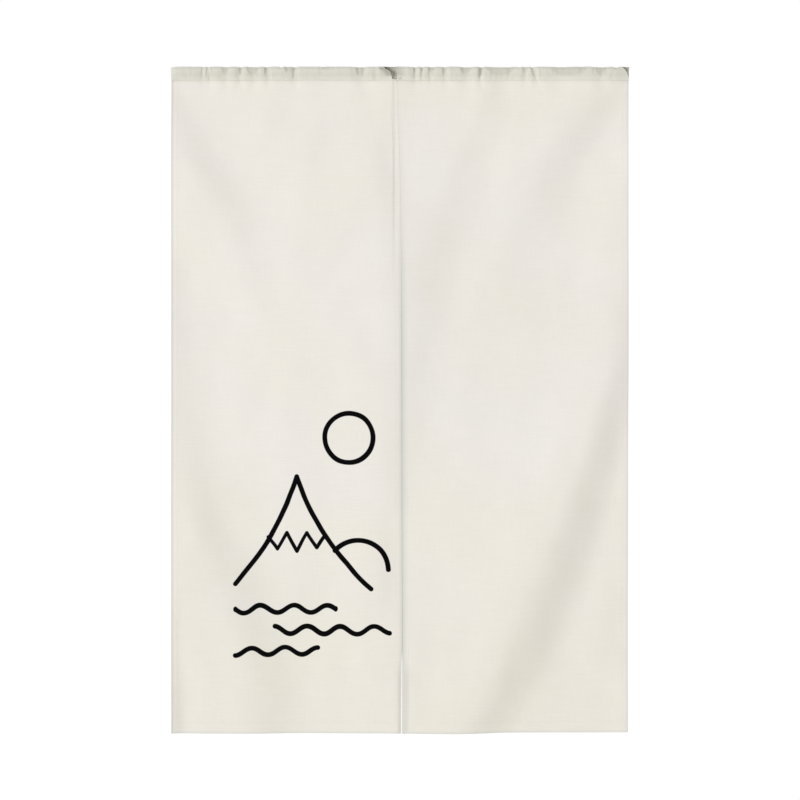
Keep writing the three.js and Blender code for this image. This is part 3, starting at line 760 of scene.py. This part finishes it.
def plain_weave_group():
    """Plain weave from the cloth's own places: thread height, and a tone that varies by thread."""
    sockets = {"Place": None, "Threads per metre": WEAVE["threads"], "Slub": SLUBS["amount"]}
    t, given, out = new_group("Plain weave", sockets, "Height", "Tone")
    x, z, _ = t.split(t.shaken(given["Place"], WEAVE["wander_scale"], 2.0, WEAVE["wander"]))
    u, v = (t.times(along, given["Threads per metre"]) for along in (x, z))
    sin_u, sin_v = (t.math("SINE", t.times(thread, math.pi)) for thread in (u, v))
    over = t.ramp(t.times(sin_u, sin_v), -WEAVE["crossing"], WEAVE["crossing"])
    warp = t.times(t.math("ABSOLUTE", sin_u), over)
    weft = t.times(t.math("ABSOLUTE", sin_v), t.minus(1.0, over))
    along_warp = t.noise(t.join(t.math("FLOOR", u), t.times(z, SLUBS["scale"])), 1.0, 1.0)
    along_weft = t.join(t.times(x, SLUBS["scale"]), t.math("FLOOR", v), SLUBS["weft_place"])
    thread = t.minus(t.math("ADD", along_warp, t.noise(along_weft, 1.0, 1.0)), 1.0)
    slub = t.times(thread, given["Slub"])
    height = t.math("ADD", t.math("ADD", warp, weft), slub)
    t.feed(out, {"Height": height, "Tone": t.math("MULTIPLY_ADD", slub, SLUBS["tone"], 1.0)})
    return t.tree


def mottle_group():
    """Soft uneven tone over a hand's breadth and over a thumb's breadth, around 1."""
    sockets = {"Place": None, "Amount": MOTTLE["amount"]}
    t, given, out = new_group("Cloth mottle", sockets, "Tone", "Warmth")
    broad = t.noise(given["Place"], MOTTLE["broad"])
    close = t.noise(given["Place"], MOTTLE["close"], detail=3.0, roughness=0.6)
    centred = t.minus(t.math("MULTIPLY_ADD", close, MOTTLE["close_share"], broad), MOTTLE["mean"])
    warm = t.noise(t.vector("ADD", given["Place"], WARMTH["place"]), WARMTH["scale"])
    tone = t.math("MULTIPLY_ADD", centred, given["Amount"], 1.0)
    t.feed(out, {"Tone": tone, "Warmth": t.ramp(warm, WARMTH["from"], WARMTH["full"])})
    return t.tree


def soft_creases_group():
    """Height of the small soft wrinkles that folding leaves in canvas."""
    t, given, out = new_group("Soft creases", {"Place": None, "Scale": WRINKLES["scale"]}, "Height")
    shaken = t.noise(given["Place"], WRINKLES["bend_scale"], detail=1.0, colour=True)
    bent = t.vector("ADD", given["Place"], t.vector("MULTIPLY", shaken, WRINKLES["bend"]))
    broad = t.noise(bent, given["Scale"], detail=3.0, roughness=0.55)
    close = t.noise(bent, t.times(given["Scale"], WRINKLES["closer"]))
    t.feed(out, {"Height": t.math("MULTIPLY_ADD", close, WRINKLES["close_share"], broad)})
    return t.tree


# Colours as painted, before the light.
CREAM = (0.806, 0.781, 0.742, 1.0)
WARM_CREAM = (0.798, 0.775, 0.716, 1.0)
# The grey cream below and HEADING_SHADE are the panels' and the pockets' cloth in painted shade.
GREY_CREAM = (0.625, 0.638, 0.612, 1.0)
HEADING = (0.775, 0.765, 0.685, 1.0)
HEADING_SHADE = (0.560, 0.552, 0.484, 1.0)
THREAD = (0.800, 0.775, 0.730, 1.0)
INK = (0.003, 0.003, 0.0035, 1.0)
BUMP = {"weave": 0.00014, "weave_strength": 0.5, "creases": 0.0008, "thread": 0.0001}
# The gaps between threads are painted darker, as painted shade: two heights of the weave, and the
# tone at each.
GAPS = (0.1, 0.8, 0.95, 1.0)
# Two heights of the weave, and how rough the cloth is at each. The pairs are for cloth and for ink.
ROUGHNESS = (0.0, 1.2, 0.96, 0.84)
SPECULAR = (0.18, 0.02)
SHEEN = (0.10, 0.0)
SHEEN_ROUGHNESS = 0.5
# Sewing thread: the scale of its unevenness, and its tone and roughness where it is dull and bright.
THREAD_FINISH = {"scale": 900.0, "tone": (0.92, 1.03), "rough": (0.9, 1.05, 0.75, 0.62), "sheen": 0.2}
FIBRE_SCALE = 2500.0
# Most of a noise's values lie between these two.
NOISE_RANGE = (0.3, 0.7)


def canvas_material(name, groups, colour, warm_colour, shade_colour, print_cover=None):
    """Matte canvas. groups are the weave, the mottle and the soft creases.

    print_cover(tree, place, weave height) gives the ink's cover from 0 to 1.
    """
    material, t, shader = new_material(name)
    place, painted_shade, tint = (
        t.node("ShaderNodeAttribute", attribute_name=name).outputs[kind]
        for name, kind in (("cloth_place", "Vector"), ("cloth_painted_shade", "Fac"), ("cloth_tint", "Vector"))
    )
    weave, mottle, wrinkles = (t.group(group, Place=place) for group in groups)
    # The painted shade mixes the cloth's colour towards its shaded colour, and the tint multiplies in
    # painted light and shade as well as tone.
    base = t.mix(painted_shade, t.mix(mottle["Warmth"], colour, warm_colour), shade_colour)
    tone = t.times(t.times(weave["Tone"], mottle["Tone"]), t.ramp(weave["Height"], *GAPS))
    base = t.mix(1.0, base, t.join(tone, tone, tone), "MULTIPLY")
    base = t.mix(1.0, base, tint, "MULTIPLY")
    specular, sheen = SPECULAR[0], SHEEN[0]
    if print_cover:
        ink = print_cover(t, place, weave["Height"])
        base = t.mix(ink, base, INK)
        specular, sheen = (t.ramp(ink, 0.0, 1.0, *pair, smooth=False) for pair in (SPECULAR, SHEEN))
    woven = t.bump(weave["Height"], BUMP["weave"], BUMP["weave_strength"])
    t.feed(shader, {
        "Base Color": base,
        "Roughness": t.ramp(weave["Height"], *ROUGHNESS, smooth=False),
        "Specular IOR Level": specular,
        "Sheen Weight": sheen,
        "Sheen Roughness": SHEEN_ROUGHNESS,
        "Normal": t.bump(wrinkles["Height"], BUMP["creases"], Normal=woven),
    })
    return material


# The printed landscape, in metres on the panel: a sun, a mountain with a broken snow line, a hill
# that runs out at the slit, and three lines of waves.
STROKE = 0.0090
SNOW_STROKE = 0.0066
# The ink's edge is soft over a short way, and high threads take it further out. It lies on the
# outer face alone: it thins out between these two places across the cloth's thickness.
INK_EDGE = {"soft": 0.0007, "ragged": -0.0004}
INK_LAYER = (0.2, 0.8)
HAND_WOBBLE = {"scale": 17.0, "by": 0.0045}
SUN = {"centre": (-0.092, -0.668), "radius": 0.044}
# Each arc goes from one point to another, and bows to its left by the last number.
ARCS = (
    ((-0.296, -0.930), (-0.186, -0.738), -0.012),
    ((-0.186, -0.738), (-0.052, -0.940), -0.015),
    ((-0.117, -0.871), (-0.020, -0.905), 0.034),
)
SNOW = in_metres((
    (-237.5, -846), (-220.5, -868), (-203.5, -839), (-185.5, -872), (-167.5, -839), (-150, -866),
    (-135, -844),
))
# Each wave line: middle x, z, half length, height, wavelength.
WAVES = in_metres((
    (-206, -976, 90, 6.6, 60), (-122, -1014, 103, 6.6, 60), (-222, -1052, 74, 6.6, 60),
))


def arc_group():
    """Distance to an arc. Middle and half are angles: where the arc's middle is, and how far it goes."""
    sockets = {"Place": None, "Centre": None, "Radius": 0.05, "Middle": 0.0, "Half": math.pi}
    t, given, out = new_group("Arc line", sockets, "Distance")
    from_centre = t.vector("SUBTRACT", given["Place"], given["Centre"])
    values = {"Vector": from_centre, "Angle": t.times(given["Middle"], -1.0)}
    out_x, out_z, _ = t.split(t.node("ShaderNodeVectorRotate", values, rotation_type="Z_AXIS").outputs[0])
    aside = t.math("ABSOLUTE", out_z)
    off_ring = t.math("ABSOLUTE", t.minus(t.vector("LENGTH", t.join(out_x, aside)), given["Radius"]))
    end = (t.times(given["Radius"], t.math(wave, given["Half"])) for wave in ("COSINE", "SINE"))
    off_end = t.vector("DISTANCE", t.join(out_x, aside), t.join(*end))
    beyond = t.math("GREATER_THAN", t.math("ARCTAN2", aside, out_x), given["Half"])
    chosen = t.node("ShaderNodeMix", {0: beyond, 2: off_ring, 3: off_end}, data_type="FLOAT")
    t.feed(out, {"Distance": chosen.outputs[0]})
    return t.tree


def wave_group():
    """Distance to a short wavy line with round ends."""
    sockets = {"Place": None, "Middle": None, "Half length": 0.1, "Height": 0.007, "Wavelength": 0.06}
    t, given, out = new_group("Wave line", sockets, "Distance")
    x, z, _ = t.split(t.vector("SUBTRACT", given["Place"], given["Middle"]))
    limit = given["Half length"]
    along = t.math("MINIMUM", t.math("MAXIMUM", x, t.times(limit, -1.0)), limit)
    turn = t.math("DIVIDE", t.times(along, 2 * math.pi), given["Wavelength"])
    wave = t.times(t.math("SINE", turn), given["Height"])
    steepest = t.math("DIVIDE", t.times(given["Height"], 2 * math.pi), given["Wavelength"])
    slope = t.times(t.math("COSINE", turn), steepest)
    upright = t.math("DIVIDE", 1.0, t.math("SQRT", t.math("MULTIPLY_ADD", slope, slope, 1.0)))
    off = t.times(t.minus(z, wave), upright)
    t.feed(out, {"Distance": t.vector("LENGTH", t.join(off, t.minus(x, along)))})
    return t.tree


def stroke_group():
    """Distance to a straight stroke."""
    t, given, out = new_group("Straight line", {"Place": None, "Start": None, "End": None}, "Distance")
    along = t.vector("SUBTRACT", given["End"], given["Start"])
    off = t.vector("SUBTRACT", given["Place"], given["Start"])
    square = t.vector("DOT_PRODUCT", along, along)
    share = t.math("DIVIDE", t.vector("DOT_PRODUCT", off, along), square, clamp=True)
    foot = t.vector("MULTIPLY", along, t.join(share, share, share))
    t.feed(out, {"Distance": t.vector("DISTANCE", off, foot)})
    return t.tree


def arc_of(start, end, bow):
    """Centre, radius, middle angle and half angle of the arc that bows to its left by bow."""
    start, end = np.array(start), np.array(end)
    chord = end - start
    length = np.hypot(*chord)
    radius = length**2 / (8 * abs(bow)) + abs(bow) / 2
    left = np.array([-chord[1], chord[0]]) / length * np.sign(bow)
    centre = (start + end) / 2 - left * (radius - abs(bow))
    half = math.asin(length / 2 / radius)
    return centre, radius, math.atan2(left[1], left[0]), half


def landscape_print():
    """The ink's cover on the left panel, as a function for canvas_material."""
    arc, wave, stroke = arc_group(), wave_group(), stroke_group()

    def cover(t, place, weave_height):
        x, z, layer = t.split(t.shaken(place, HAND_WOBBLE["scale"], 1.0, HAND_WOBBLE["by"]))
        flat = t.join(x, z)
        lines = []
        arcs = [(SUN["centre"], SUN["radius"], math.pi / 2, math.pi)]
        arcs += [arc_of(*row) for row in ARCS]
        for centre, radius, middle, half in arcs:
            line = t.group(arc, Place=flat, Centre=(*centre, 0.0), Radius=radius, Middle=middle, Half=half)
            lines.append((line[0], STROKE))
        for x, z, half, height, length in WAVES:
            sizes = {"Half length": half, "Height": height, "Wavelength": length}
            lines.append((t.group(wave, Place=flat, Middle=(x, z, 0.0), **sizes)[0], STROKE))
        for start, end in zip(SNOW[:-1], SNOW[1:]):
            line = t.group(stroke, Place=flat, Start=(*start, 0.0), End=(*end, 0.0))
            lines.append((line[0], SNOW_STROKE))
        inks = [t.minus(line, width / 2) for line, width in lines]
        ink = inks[0]
        for other in inks[1:]:
            ink = t.math("MINIMUM", ink, other)
        ragged = t.math("MULTIPLY_ADD", weave_height, INK_EDGE["ragged"], ink)
        covered = t.ramp(ragged, -INK_EDGE["soft"], INK_EDGE["soft"] / 3, 1.0, 0.0)
        return t.times(covered, t.ramp(layer, *INK_LAYER))

    return cover


def thread_material():
    material, t, shader = new_material("cotton_thread")
    place = t.node("ShaderNodeTexCoord").outputs["Object"]
    uneven = t.ramp(t.noise(place, THREAD_FINISH["scale"], 1.0), *NOISE_RANGE, *THREAD_FINISH["tone"])
    t.feed(shader, {
        "Base Color": t.mix(1.0, THREAD, t.join(uneven, uneven, uneven), "MULTIPLY"),
        "Roughness": t.ramp(uneven, *THREAD_FINISH["rough"], smooth=False),
        "Sheen Weight": THREAD_FINISH["sheen"],
        "Normal": t.bump(t.noise(place, FIBRE_SCALE, 1.0), BUMP["thread"]),
    })
    return material


# Where the rows of stitching run, how far their middles are off the cloth, and how many points lead
# each one.
THREAD_RISE = 0.00010
STITCH_LINES = {"below_seam": 0.004, "above_seam": 0.0020, "from_mouth": 0.002}
LINE_POINTS = {"side": 240, "foot": 90, "seam": 220, "join": 110, "tack": 4}
JOIN_LINE = {"below_seam": 0.005, "foot": -0.300, "beside": 0.0006}
# The tack that holds the two pockets together: close rows of thread across their lower corners.
TACK = {"from": -0.0046, "to": 0.0000, "top": -0.0198, "foot": -0.0236, "rows": 7, "rise": 0.0003}
TACK_STITCHES = {"Pitch": 0.0020, "Stitch length": 0.0034, "Thread": 0.0006}
# Each stitch is a plump bead, a little askew.
STITCHES = {"Pitch": 0.0036, "Stitch length": 0.0028, "Thread": 0.00040}
STITCH_ASKEW = 0.07
BEAD = {"Segments": 6, "Rings": 5, "Radius": 0.5}


def stitch_rows(side):
    """The middle line of each row of stitching on one panel, front and back, as arrays of points."""
    rows = []
    foot_z = -HEIGHT + HEM_STITCHES["bottom"]
    heights = np.linspace(-POCKET_HEIGHT - STITCH_LINES["below_seam"], foot_z, LINE_POINTS["side"])
    low, high = panel_edges(side, heights)
    inset = HEM_STITCHES["side"]
    across = np.linspace(low[-1] + inset, high[-1] - inset, LINE_POINTS["foot"])
    foot = np.full(across.shape, foot_z)
    for x, z in ((low + inset, heights), (high - inset, heights), (across, foot)):
        y, _, pressed = cloth_front(side, x, z)
        rows.append(stacked(x, y - THREAD_RISE, z))
        rows.append(stacked(x, y + (CANVAS + HEM_LAYERS) * pressed + THREAD_RISE, z))
    start, end = (mouth[0] for mouth in POCKET_ENDS[side])
    inset = STITCH_LINES["from_mouth"]
    across = np.linspace(start + inset, end - inset, LINE_POINTS["seam"])
    seam = np.full(across.shape, -POCKET_HEIGHT + STITCH_LINES["above_seam"])
    for facing in (-1, 1):
        y = pocket_face(across, seam, facing) + facing * THREAD_RISE
        rows.append(stacked(across, y, seam))
    return rows


def join_row():
    """The row of stitching that joins the two panels at the head of the slit."""
    z = np.linspace(-POCKET_HEIGHT - JOIN_LINE["below_seam"], JOIN_LINE["foot"], LINE_POINTS["join"])
    x = np.full(z.shape, JOIN["x"] + JOIN_LINE["beside"])
    y, _, _ = cloth_front("left", x, z)
    return stacked(x, y - THREAD_RISE, z)


def tack_rows():
    rows = []
    for z in np.linspace(TACK["top"], TACK["foot"], TACK["rows"]):
        x = np.linspace(TACK["from"], TACK["to"], LINE_POINTS["tack"])
        height = np.full(x.shape, z)
        rows.append(stacked(x, pocket_face(x, height, -1) - TACK["rise"], height))
    return rows


def stitch_tree():
    """Geometry nodes that lay one plump stitch after another along lines of edges."""
    tree = bpy.data.node_groups.new("Row of stitches", "GeometryNodeTree")
    kinds = {"Geometry": "Geometry", **dict.fromkeys(STITCHES, "Float")}
    kinds.update({"Seed": "Int", "Material": "Material"})
    sockets = {}
    for name, kind in kinds.items():
        socket = tree.interface.new_socket(name, in_out="INPUT", socket_type="NodeSocket" + kind)
        sockets[name] = socket.identifier
        if name in STITCHES:
            socket.default_value = STITCHES[name]
    tree.interface.new_socket("Geometry", in_out="OUTPUT", socket_type="NodeSocketGeometry")
    t = Tree(tree)
    given = t.node("NodeGroupInput").outputs
    curve = t.node("GeometryNodeMeshToCurve", {0: given["Geometry"]}).outputs[0]
    lengths = {"Curve": curve, "Length": given["Pitch"]}
    evenly = t.node("GeometryNodeResampleCurve", lengths, mode="LENGTH").outputs[0]
    bead = t.node("GeometryNodeMeshUVSphere", BEAD).outputs["Mesh"]
    size = t.join(given["Thread"], given["Thread"], given["Stitch length"])
    stitch = t.node("GeometryNodeTransform", {"Geometry": bead, "Scale": size}).outputs[0]
    askew = {0: (-STITCH_ASKEW,) * 3, 1: (STITCH_ASKEW,) * 3, "Seed": given["Seed"]}
    askew = t.node("FunctionNodeRandomValue", data_type="FLOAT_VECTOR", values=askew).outputs[0]
    along = t.vector("ADD", t.node("GeometryNodeInputTangent").outputs[0], askew)
    facing = t.node("FunctionNodeAlignRotationToVector", {"Vector": along}, axis="Z").outputs[0]
    placed = {"Points": evenly, "Instance": stitch, "Rotation": facing}
    placed = t.node("GeometryNodeInstanceOnPoints", placed).outputs[0]
    made = t.node("GeometryNodeRealizeInstances", {0: placed}).outputs[0]
    painted = t.node("GeometryNodeSetMaterial", {"Geometry": made, "Material": given["Material"]})
    t.node("NodeGroupOutput", {0: painted.outputs[0]})
    return tree, sockets


def sewn(name, rows, material, nodes, **sizes):
    """Stitches along the rows of points, as one plain mesh."""
    tree, sockets = nodes
    edges = []
    start = 0
    for row in rows:
        edges += [(start + i, start + i + 1) for i in range(len(row) - 1)]
        start += len(row)
    lines = bpy.data.meshes.new(name + "_lines")
    lines.from_pydata(np.concatenate(rows).tolist(), edges, [])
    guide = add_object(name + "_lines", lines)
    modifier = guide.modifiers.new("Stitches", "NODES")
    modifier.node_group = tree
    for key, value in {**sizes, "Material": material}.items():
        modifier[sockets[key]] = value
    depsgraph = bpy.context.evaluated_depsgraph_get()
    mesh = bpy.data.meshes.new_from_object(guide.evaluated_get(depsgraph))
    mesh.name = name
    mesh.shade_smooth()
    bpy.data.objects.remove(guide)
    return add_object(name, mesh)


def make_curtain():
    groups = (plain_weave_group(), mottle_group(), soft_creases_group())
    panel_colours = (CREAM, WARM_CREAM, GREY_CREAM)
    printed = canvas_material("printed_canvas", groups, *panel_colours, print_cover=landscape_print())
    plain = canvas_material("plain_canvas", groups, *panel_colours)
    heading = canvas_material("heading_canvas", groups, HEADING, HEADING, HEADING_SHADE)
    thread = thread_material()
    nodes = stitch_tree()
    for side, material, seed in (("left", printed, 3), ("right", plain, 4)):
        panel = panel_cloth(side)
        panel.data.materials.append(material)
        pocket = pocket_cloth(side)
        pocket.data.materials.append(heading)
        rows = stitch_rows(side)
        if side == "left":
            rows.append(join_row())
        stitches = sewn(f"stitching_{side}", rows, thread, nodes, Seed=seed)
        for piece in (panel, pocket, stitches):
            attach(piece, "root")
        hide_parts(f"panel_{side}")
        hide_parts(f"rod_pocket_{side}")
    tack = sewn("tack", tack_rows(), thread, nodes, Seed=5, **TACK_STITCHES)
    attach(tack, "root")


# A pale floor below the curtain, as far down as it is in a doorway.
FLOOR = {"half": 1.9, "height": -2.0, "scale": 3.0, "tone": (0.78, 0.82), "roughness": 0.8}
# Broad soft lights: strength, softness in degrees, the way each one shines, and its colour.
LIGHTS = {
    "key": (1.68, 24, (1.0, 1.25, 0.10), (0.975, 0.985, 1.0)),
    "rear": (0.9, 40, (-0.4, -1.0, -0.35), (1.0, 0.99, 0.97)),
}
WHITE = (1.0, 1.0, 1.0, 1.0)
SURROUNDINGS = {"seen": 1.02, "shining": 0.66, "colour": (1.0, 0.985, 0.955, 1.0)}


def make_floor():
    mesh = bpy.data.meshes.new("floor")
    half = FLOOR["half"]
    around = ((-half, -half), (half, -half), (half, half), (-half, half))
    mesh.from_pydata([(x, y, FLOOR["height"]) for x, y in around], [], [(0, 1, 2, 3)])
    floor = add_object("floor", mesh)
    material, t, shader = new_material("pale_floor")
    place = t.node("ShaderNodeTexCoord").outputs["Object"]
    tone = t.ramp(t.noise(place, FLOOR["scale"], 4.0), *NOISE_RANGE, *FLOOR["tone"])
    t.feed(shader, {"Base Color": t.join(tone, tone, tone), "Roughness": FLOOR["roughness"]})
    mesh.materials.append(material)


def make_light():
    """White surroundings, a broad soft light from the left, and a weaker one from behind."""
    world = bpy.data.worlds.new("white_studio")
    world.use_nodes = True
    bpy.context.scene.world = world
    t = Tree(world.node_tree)
    seen = t.node("ShaderNodeLightPath").outputs["Is Camera Ray"]
    strength = t.ramp(seen, 0.0, 1.0, SURROUNDINGS["shining"], SURROUNDINGS["seen"], smooth=False)
    colour = t.mix(seen, SURROUNDINGS["colour"], WHITE)
    t.feed(t.tree.nodes["Background"].inputs, {"Color": colour, "Strength": strength})
    for name, (strength, softness, direction, colour) in LIGHTS.items():
        lamp = bpy.data.lights.new(name, "SUN")
        lamp.energy = strength
        lamp.angle = math.radians(softness)
        lamp.color = colour
        add_object(name, lamp).rotation_euler = Vector(direction).to_track_quat("-Z", "Y").to_euler()


def make_camera():
    camera = bpy.data.cameras.new("camera")
    camera.sensor_width = SENSOR
    frame_width = 2 * HALF_WIDTH * FRAME_PIXELS / CURTAIN_PIXELS
    camera.lens = SENSOR * CAMERA_DISTANCE / frame_width
    holder = add_object("camera", camera)
    holder.location = (0.0, -CAMERA_DISTANCE, -HEIGHT / 2)
    holder.rotation_euler = (math.pi / 2, 0.0, 0.0)
    bpy.context.scene.camera = holder


bpy.context.scene.view_settings.view_transform = "Standard"
make_camera()
make_curtain()
make_floor()
make_light()
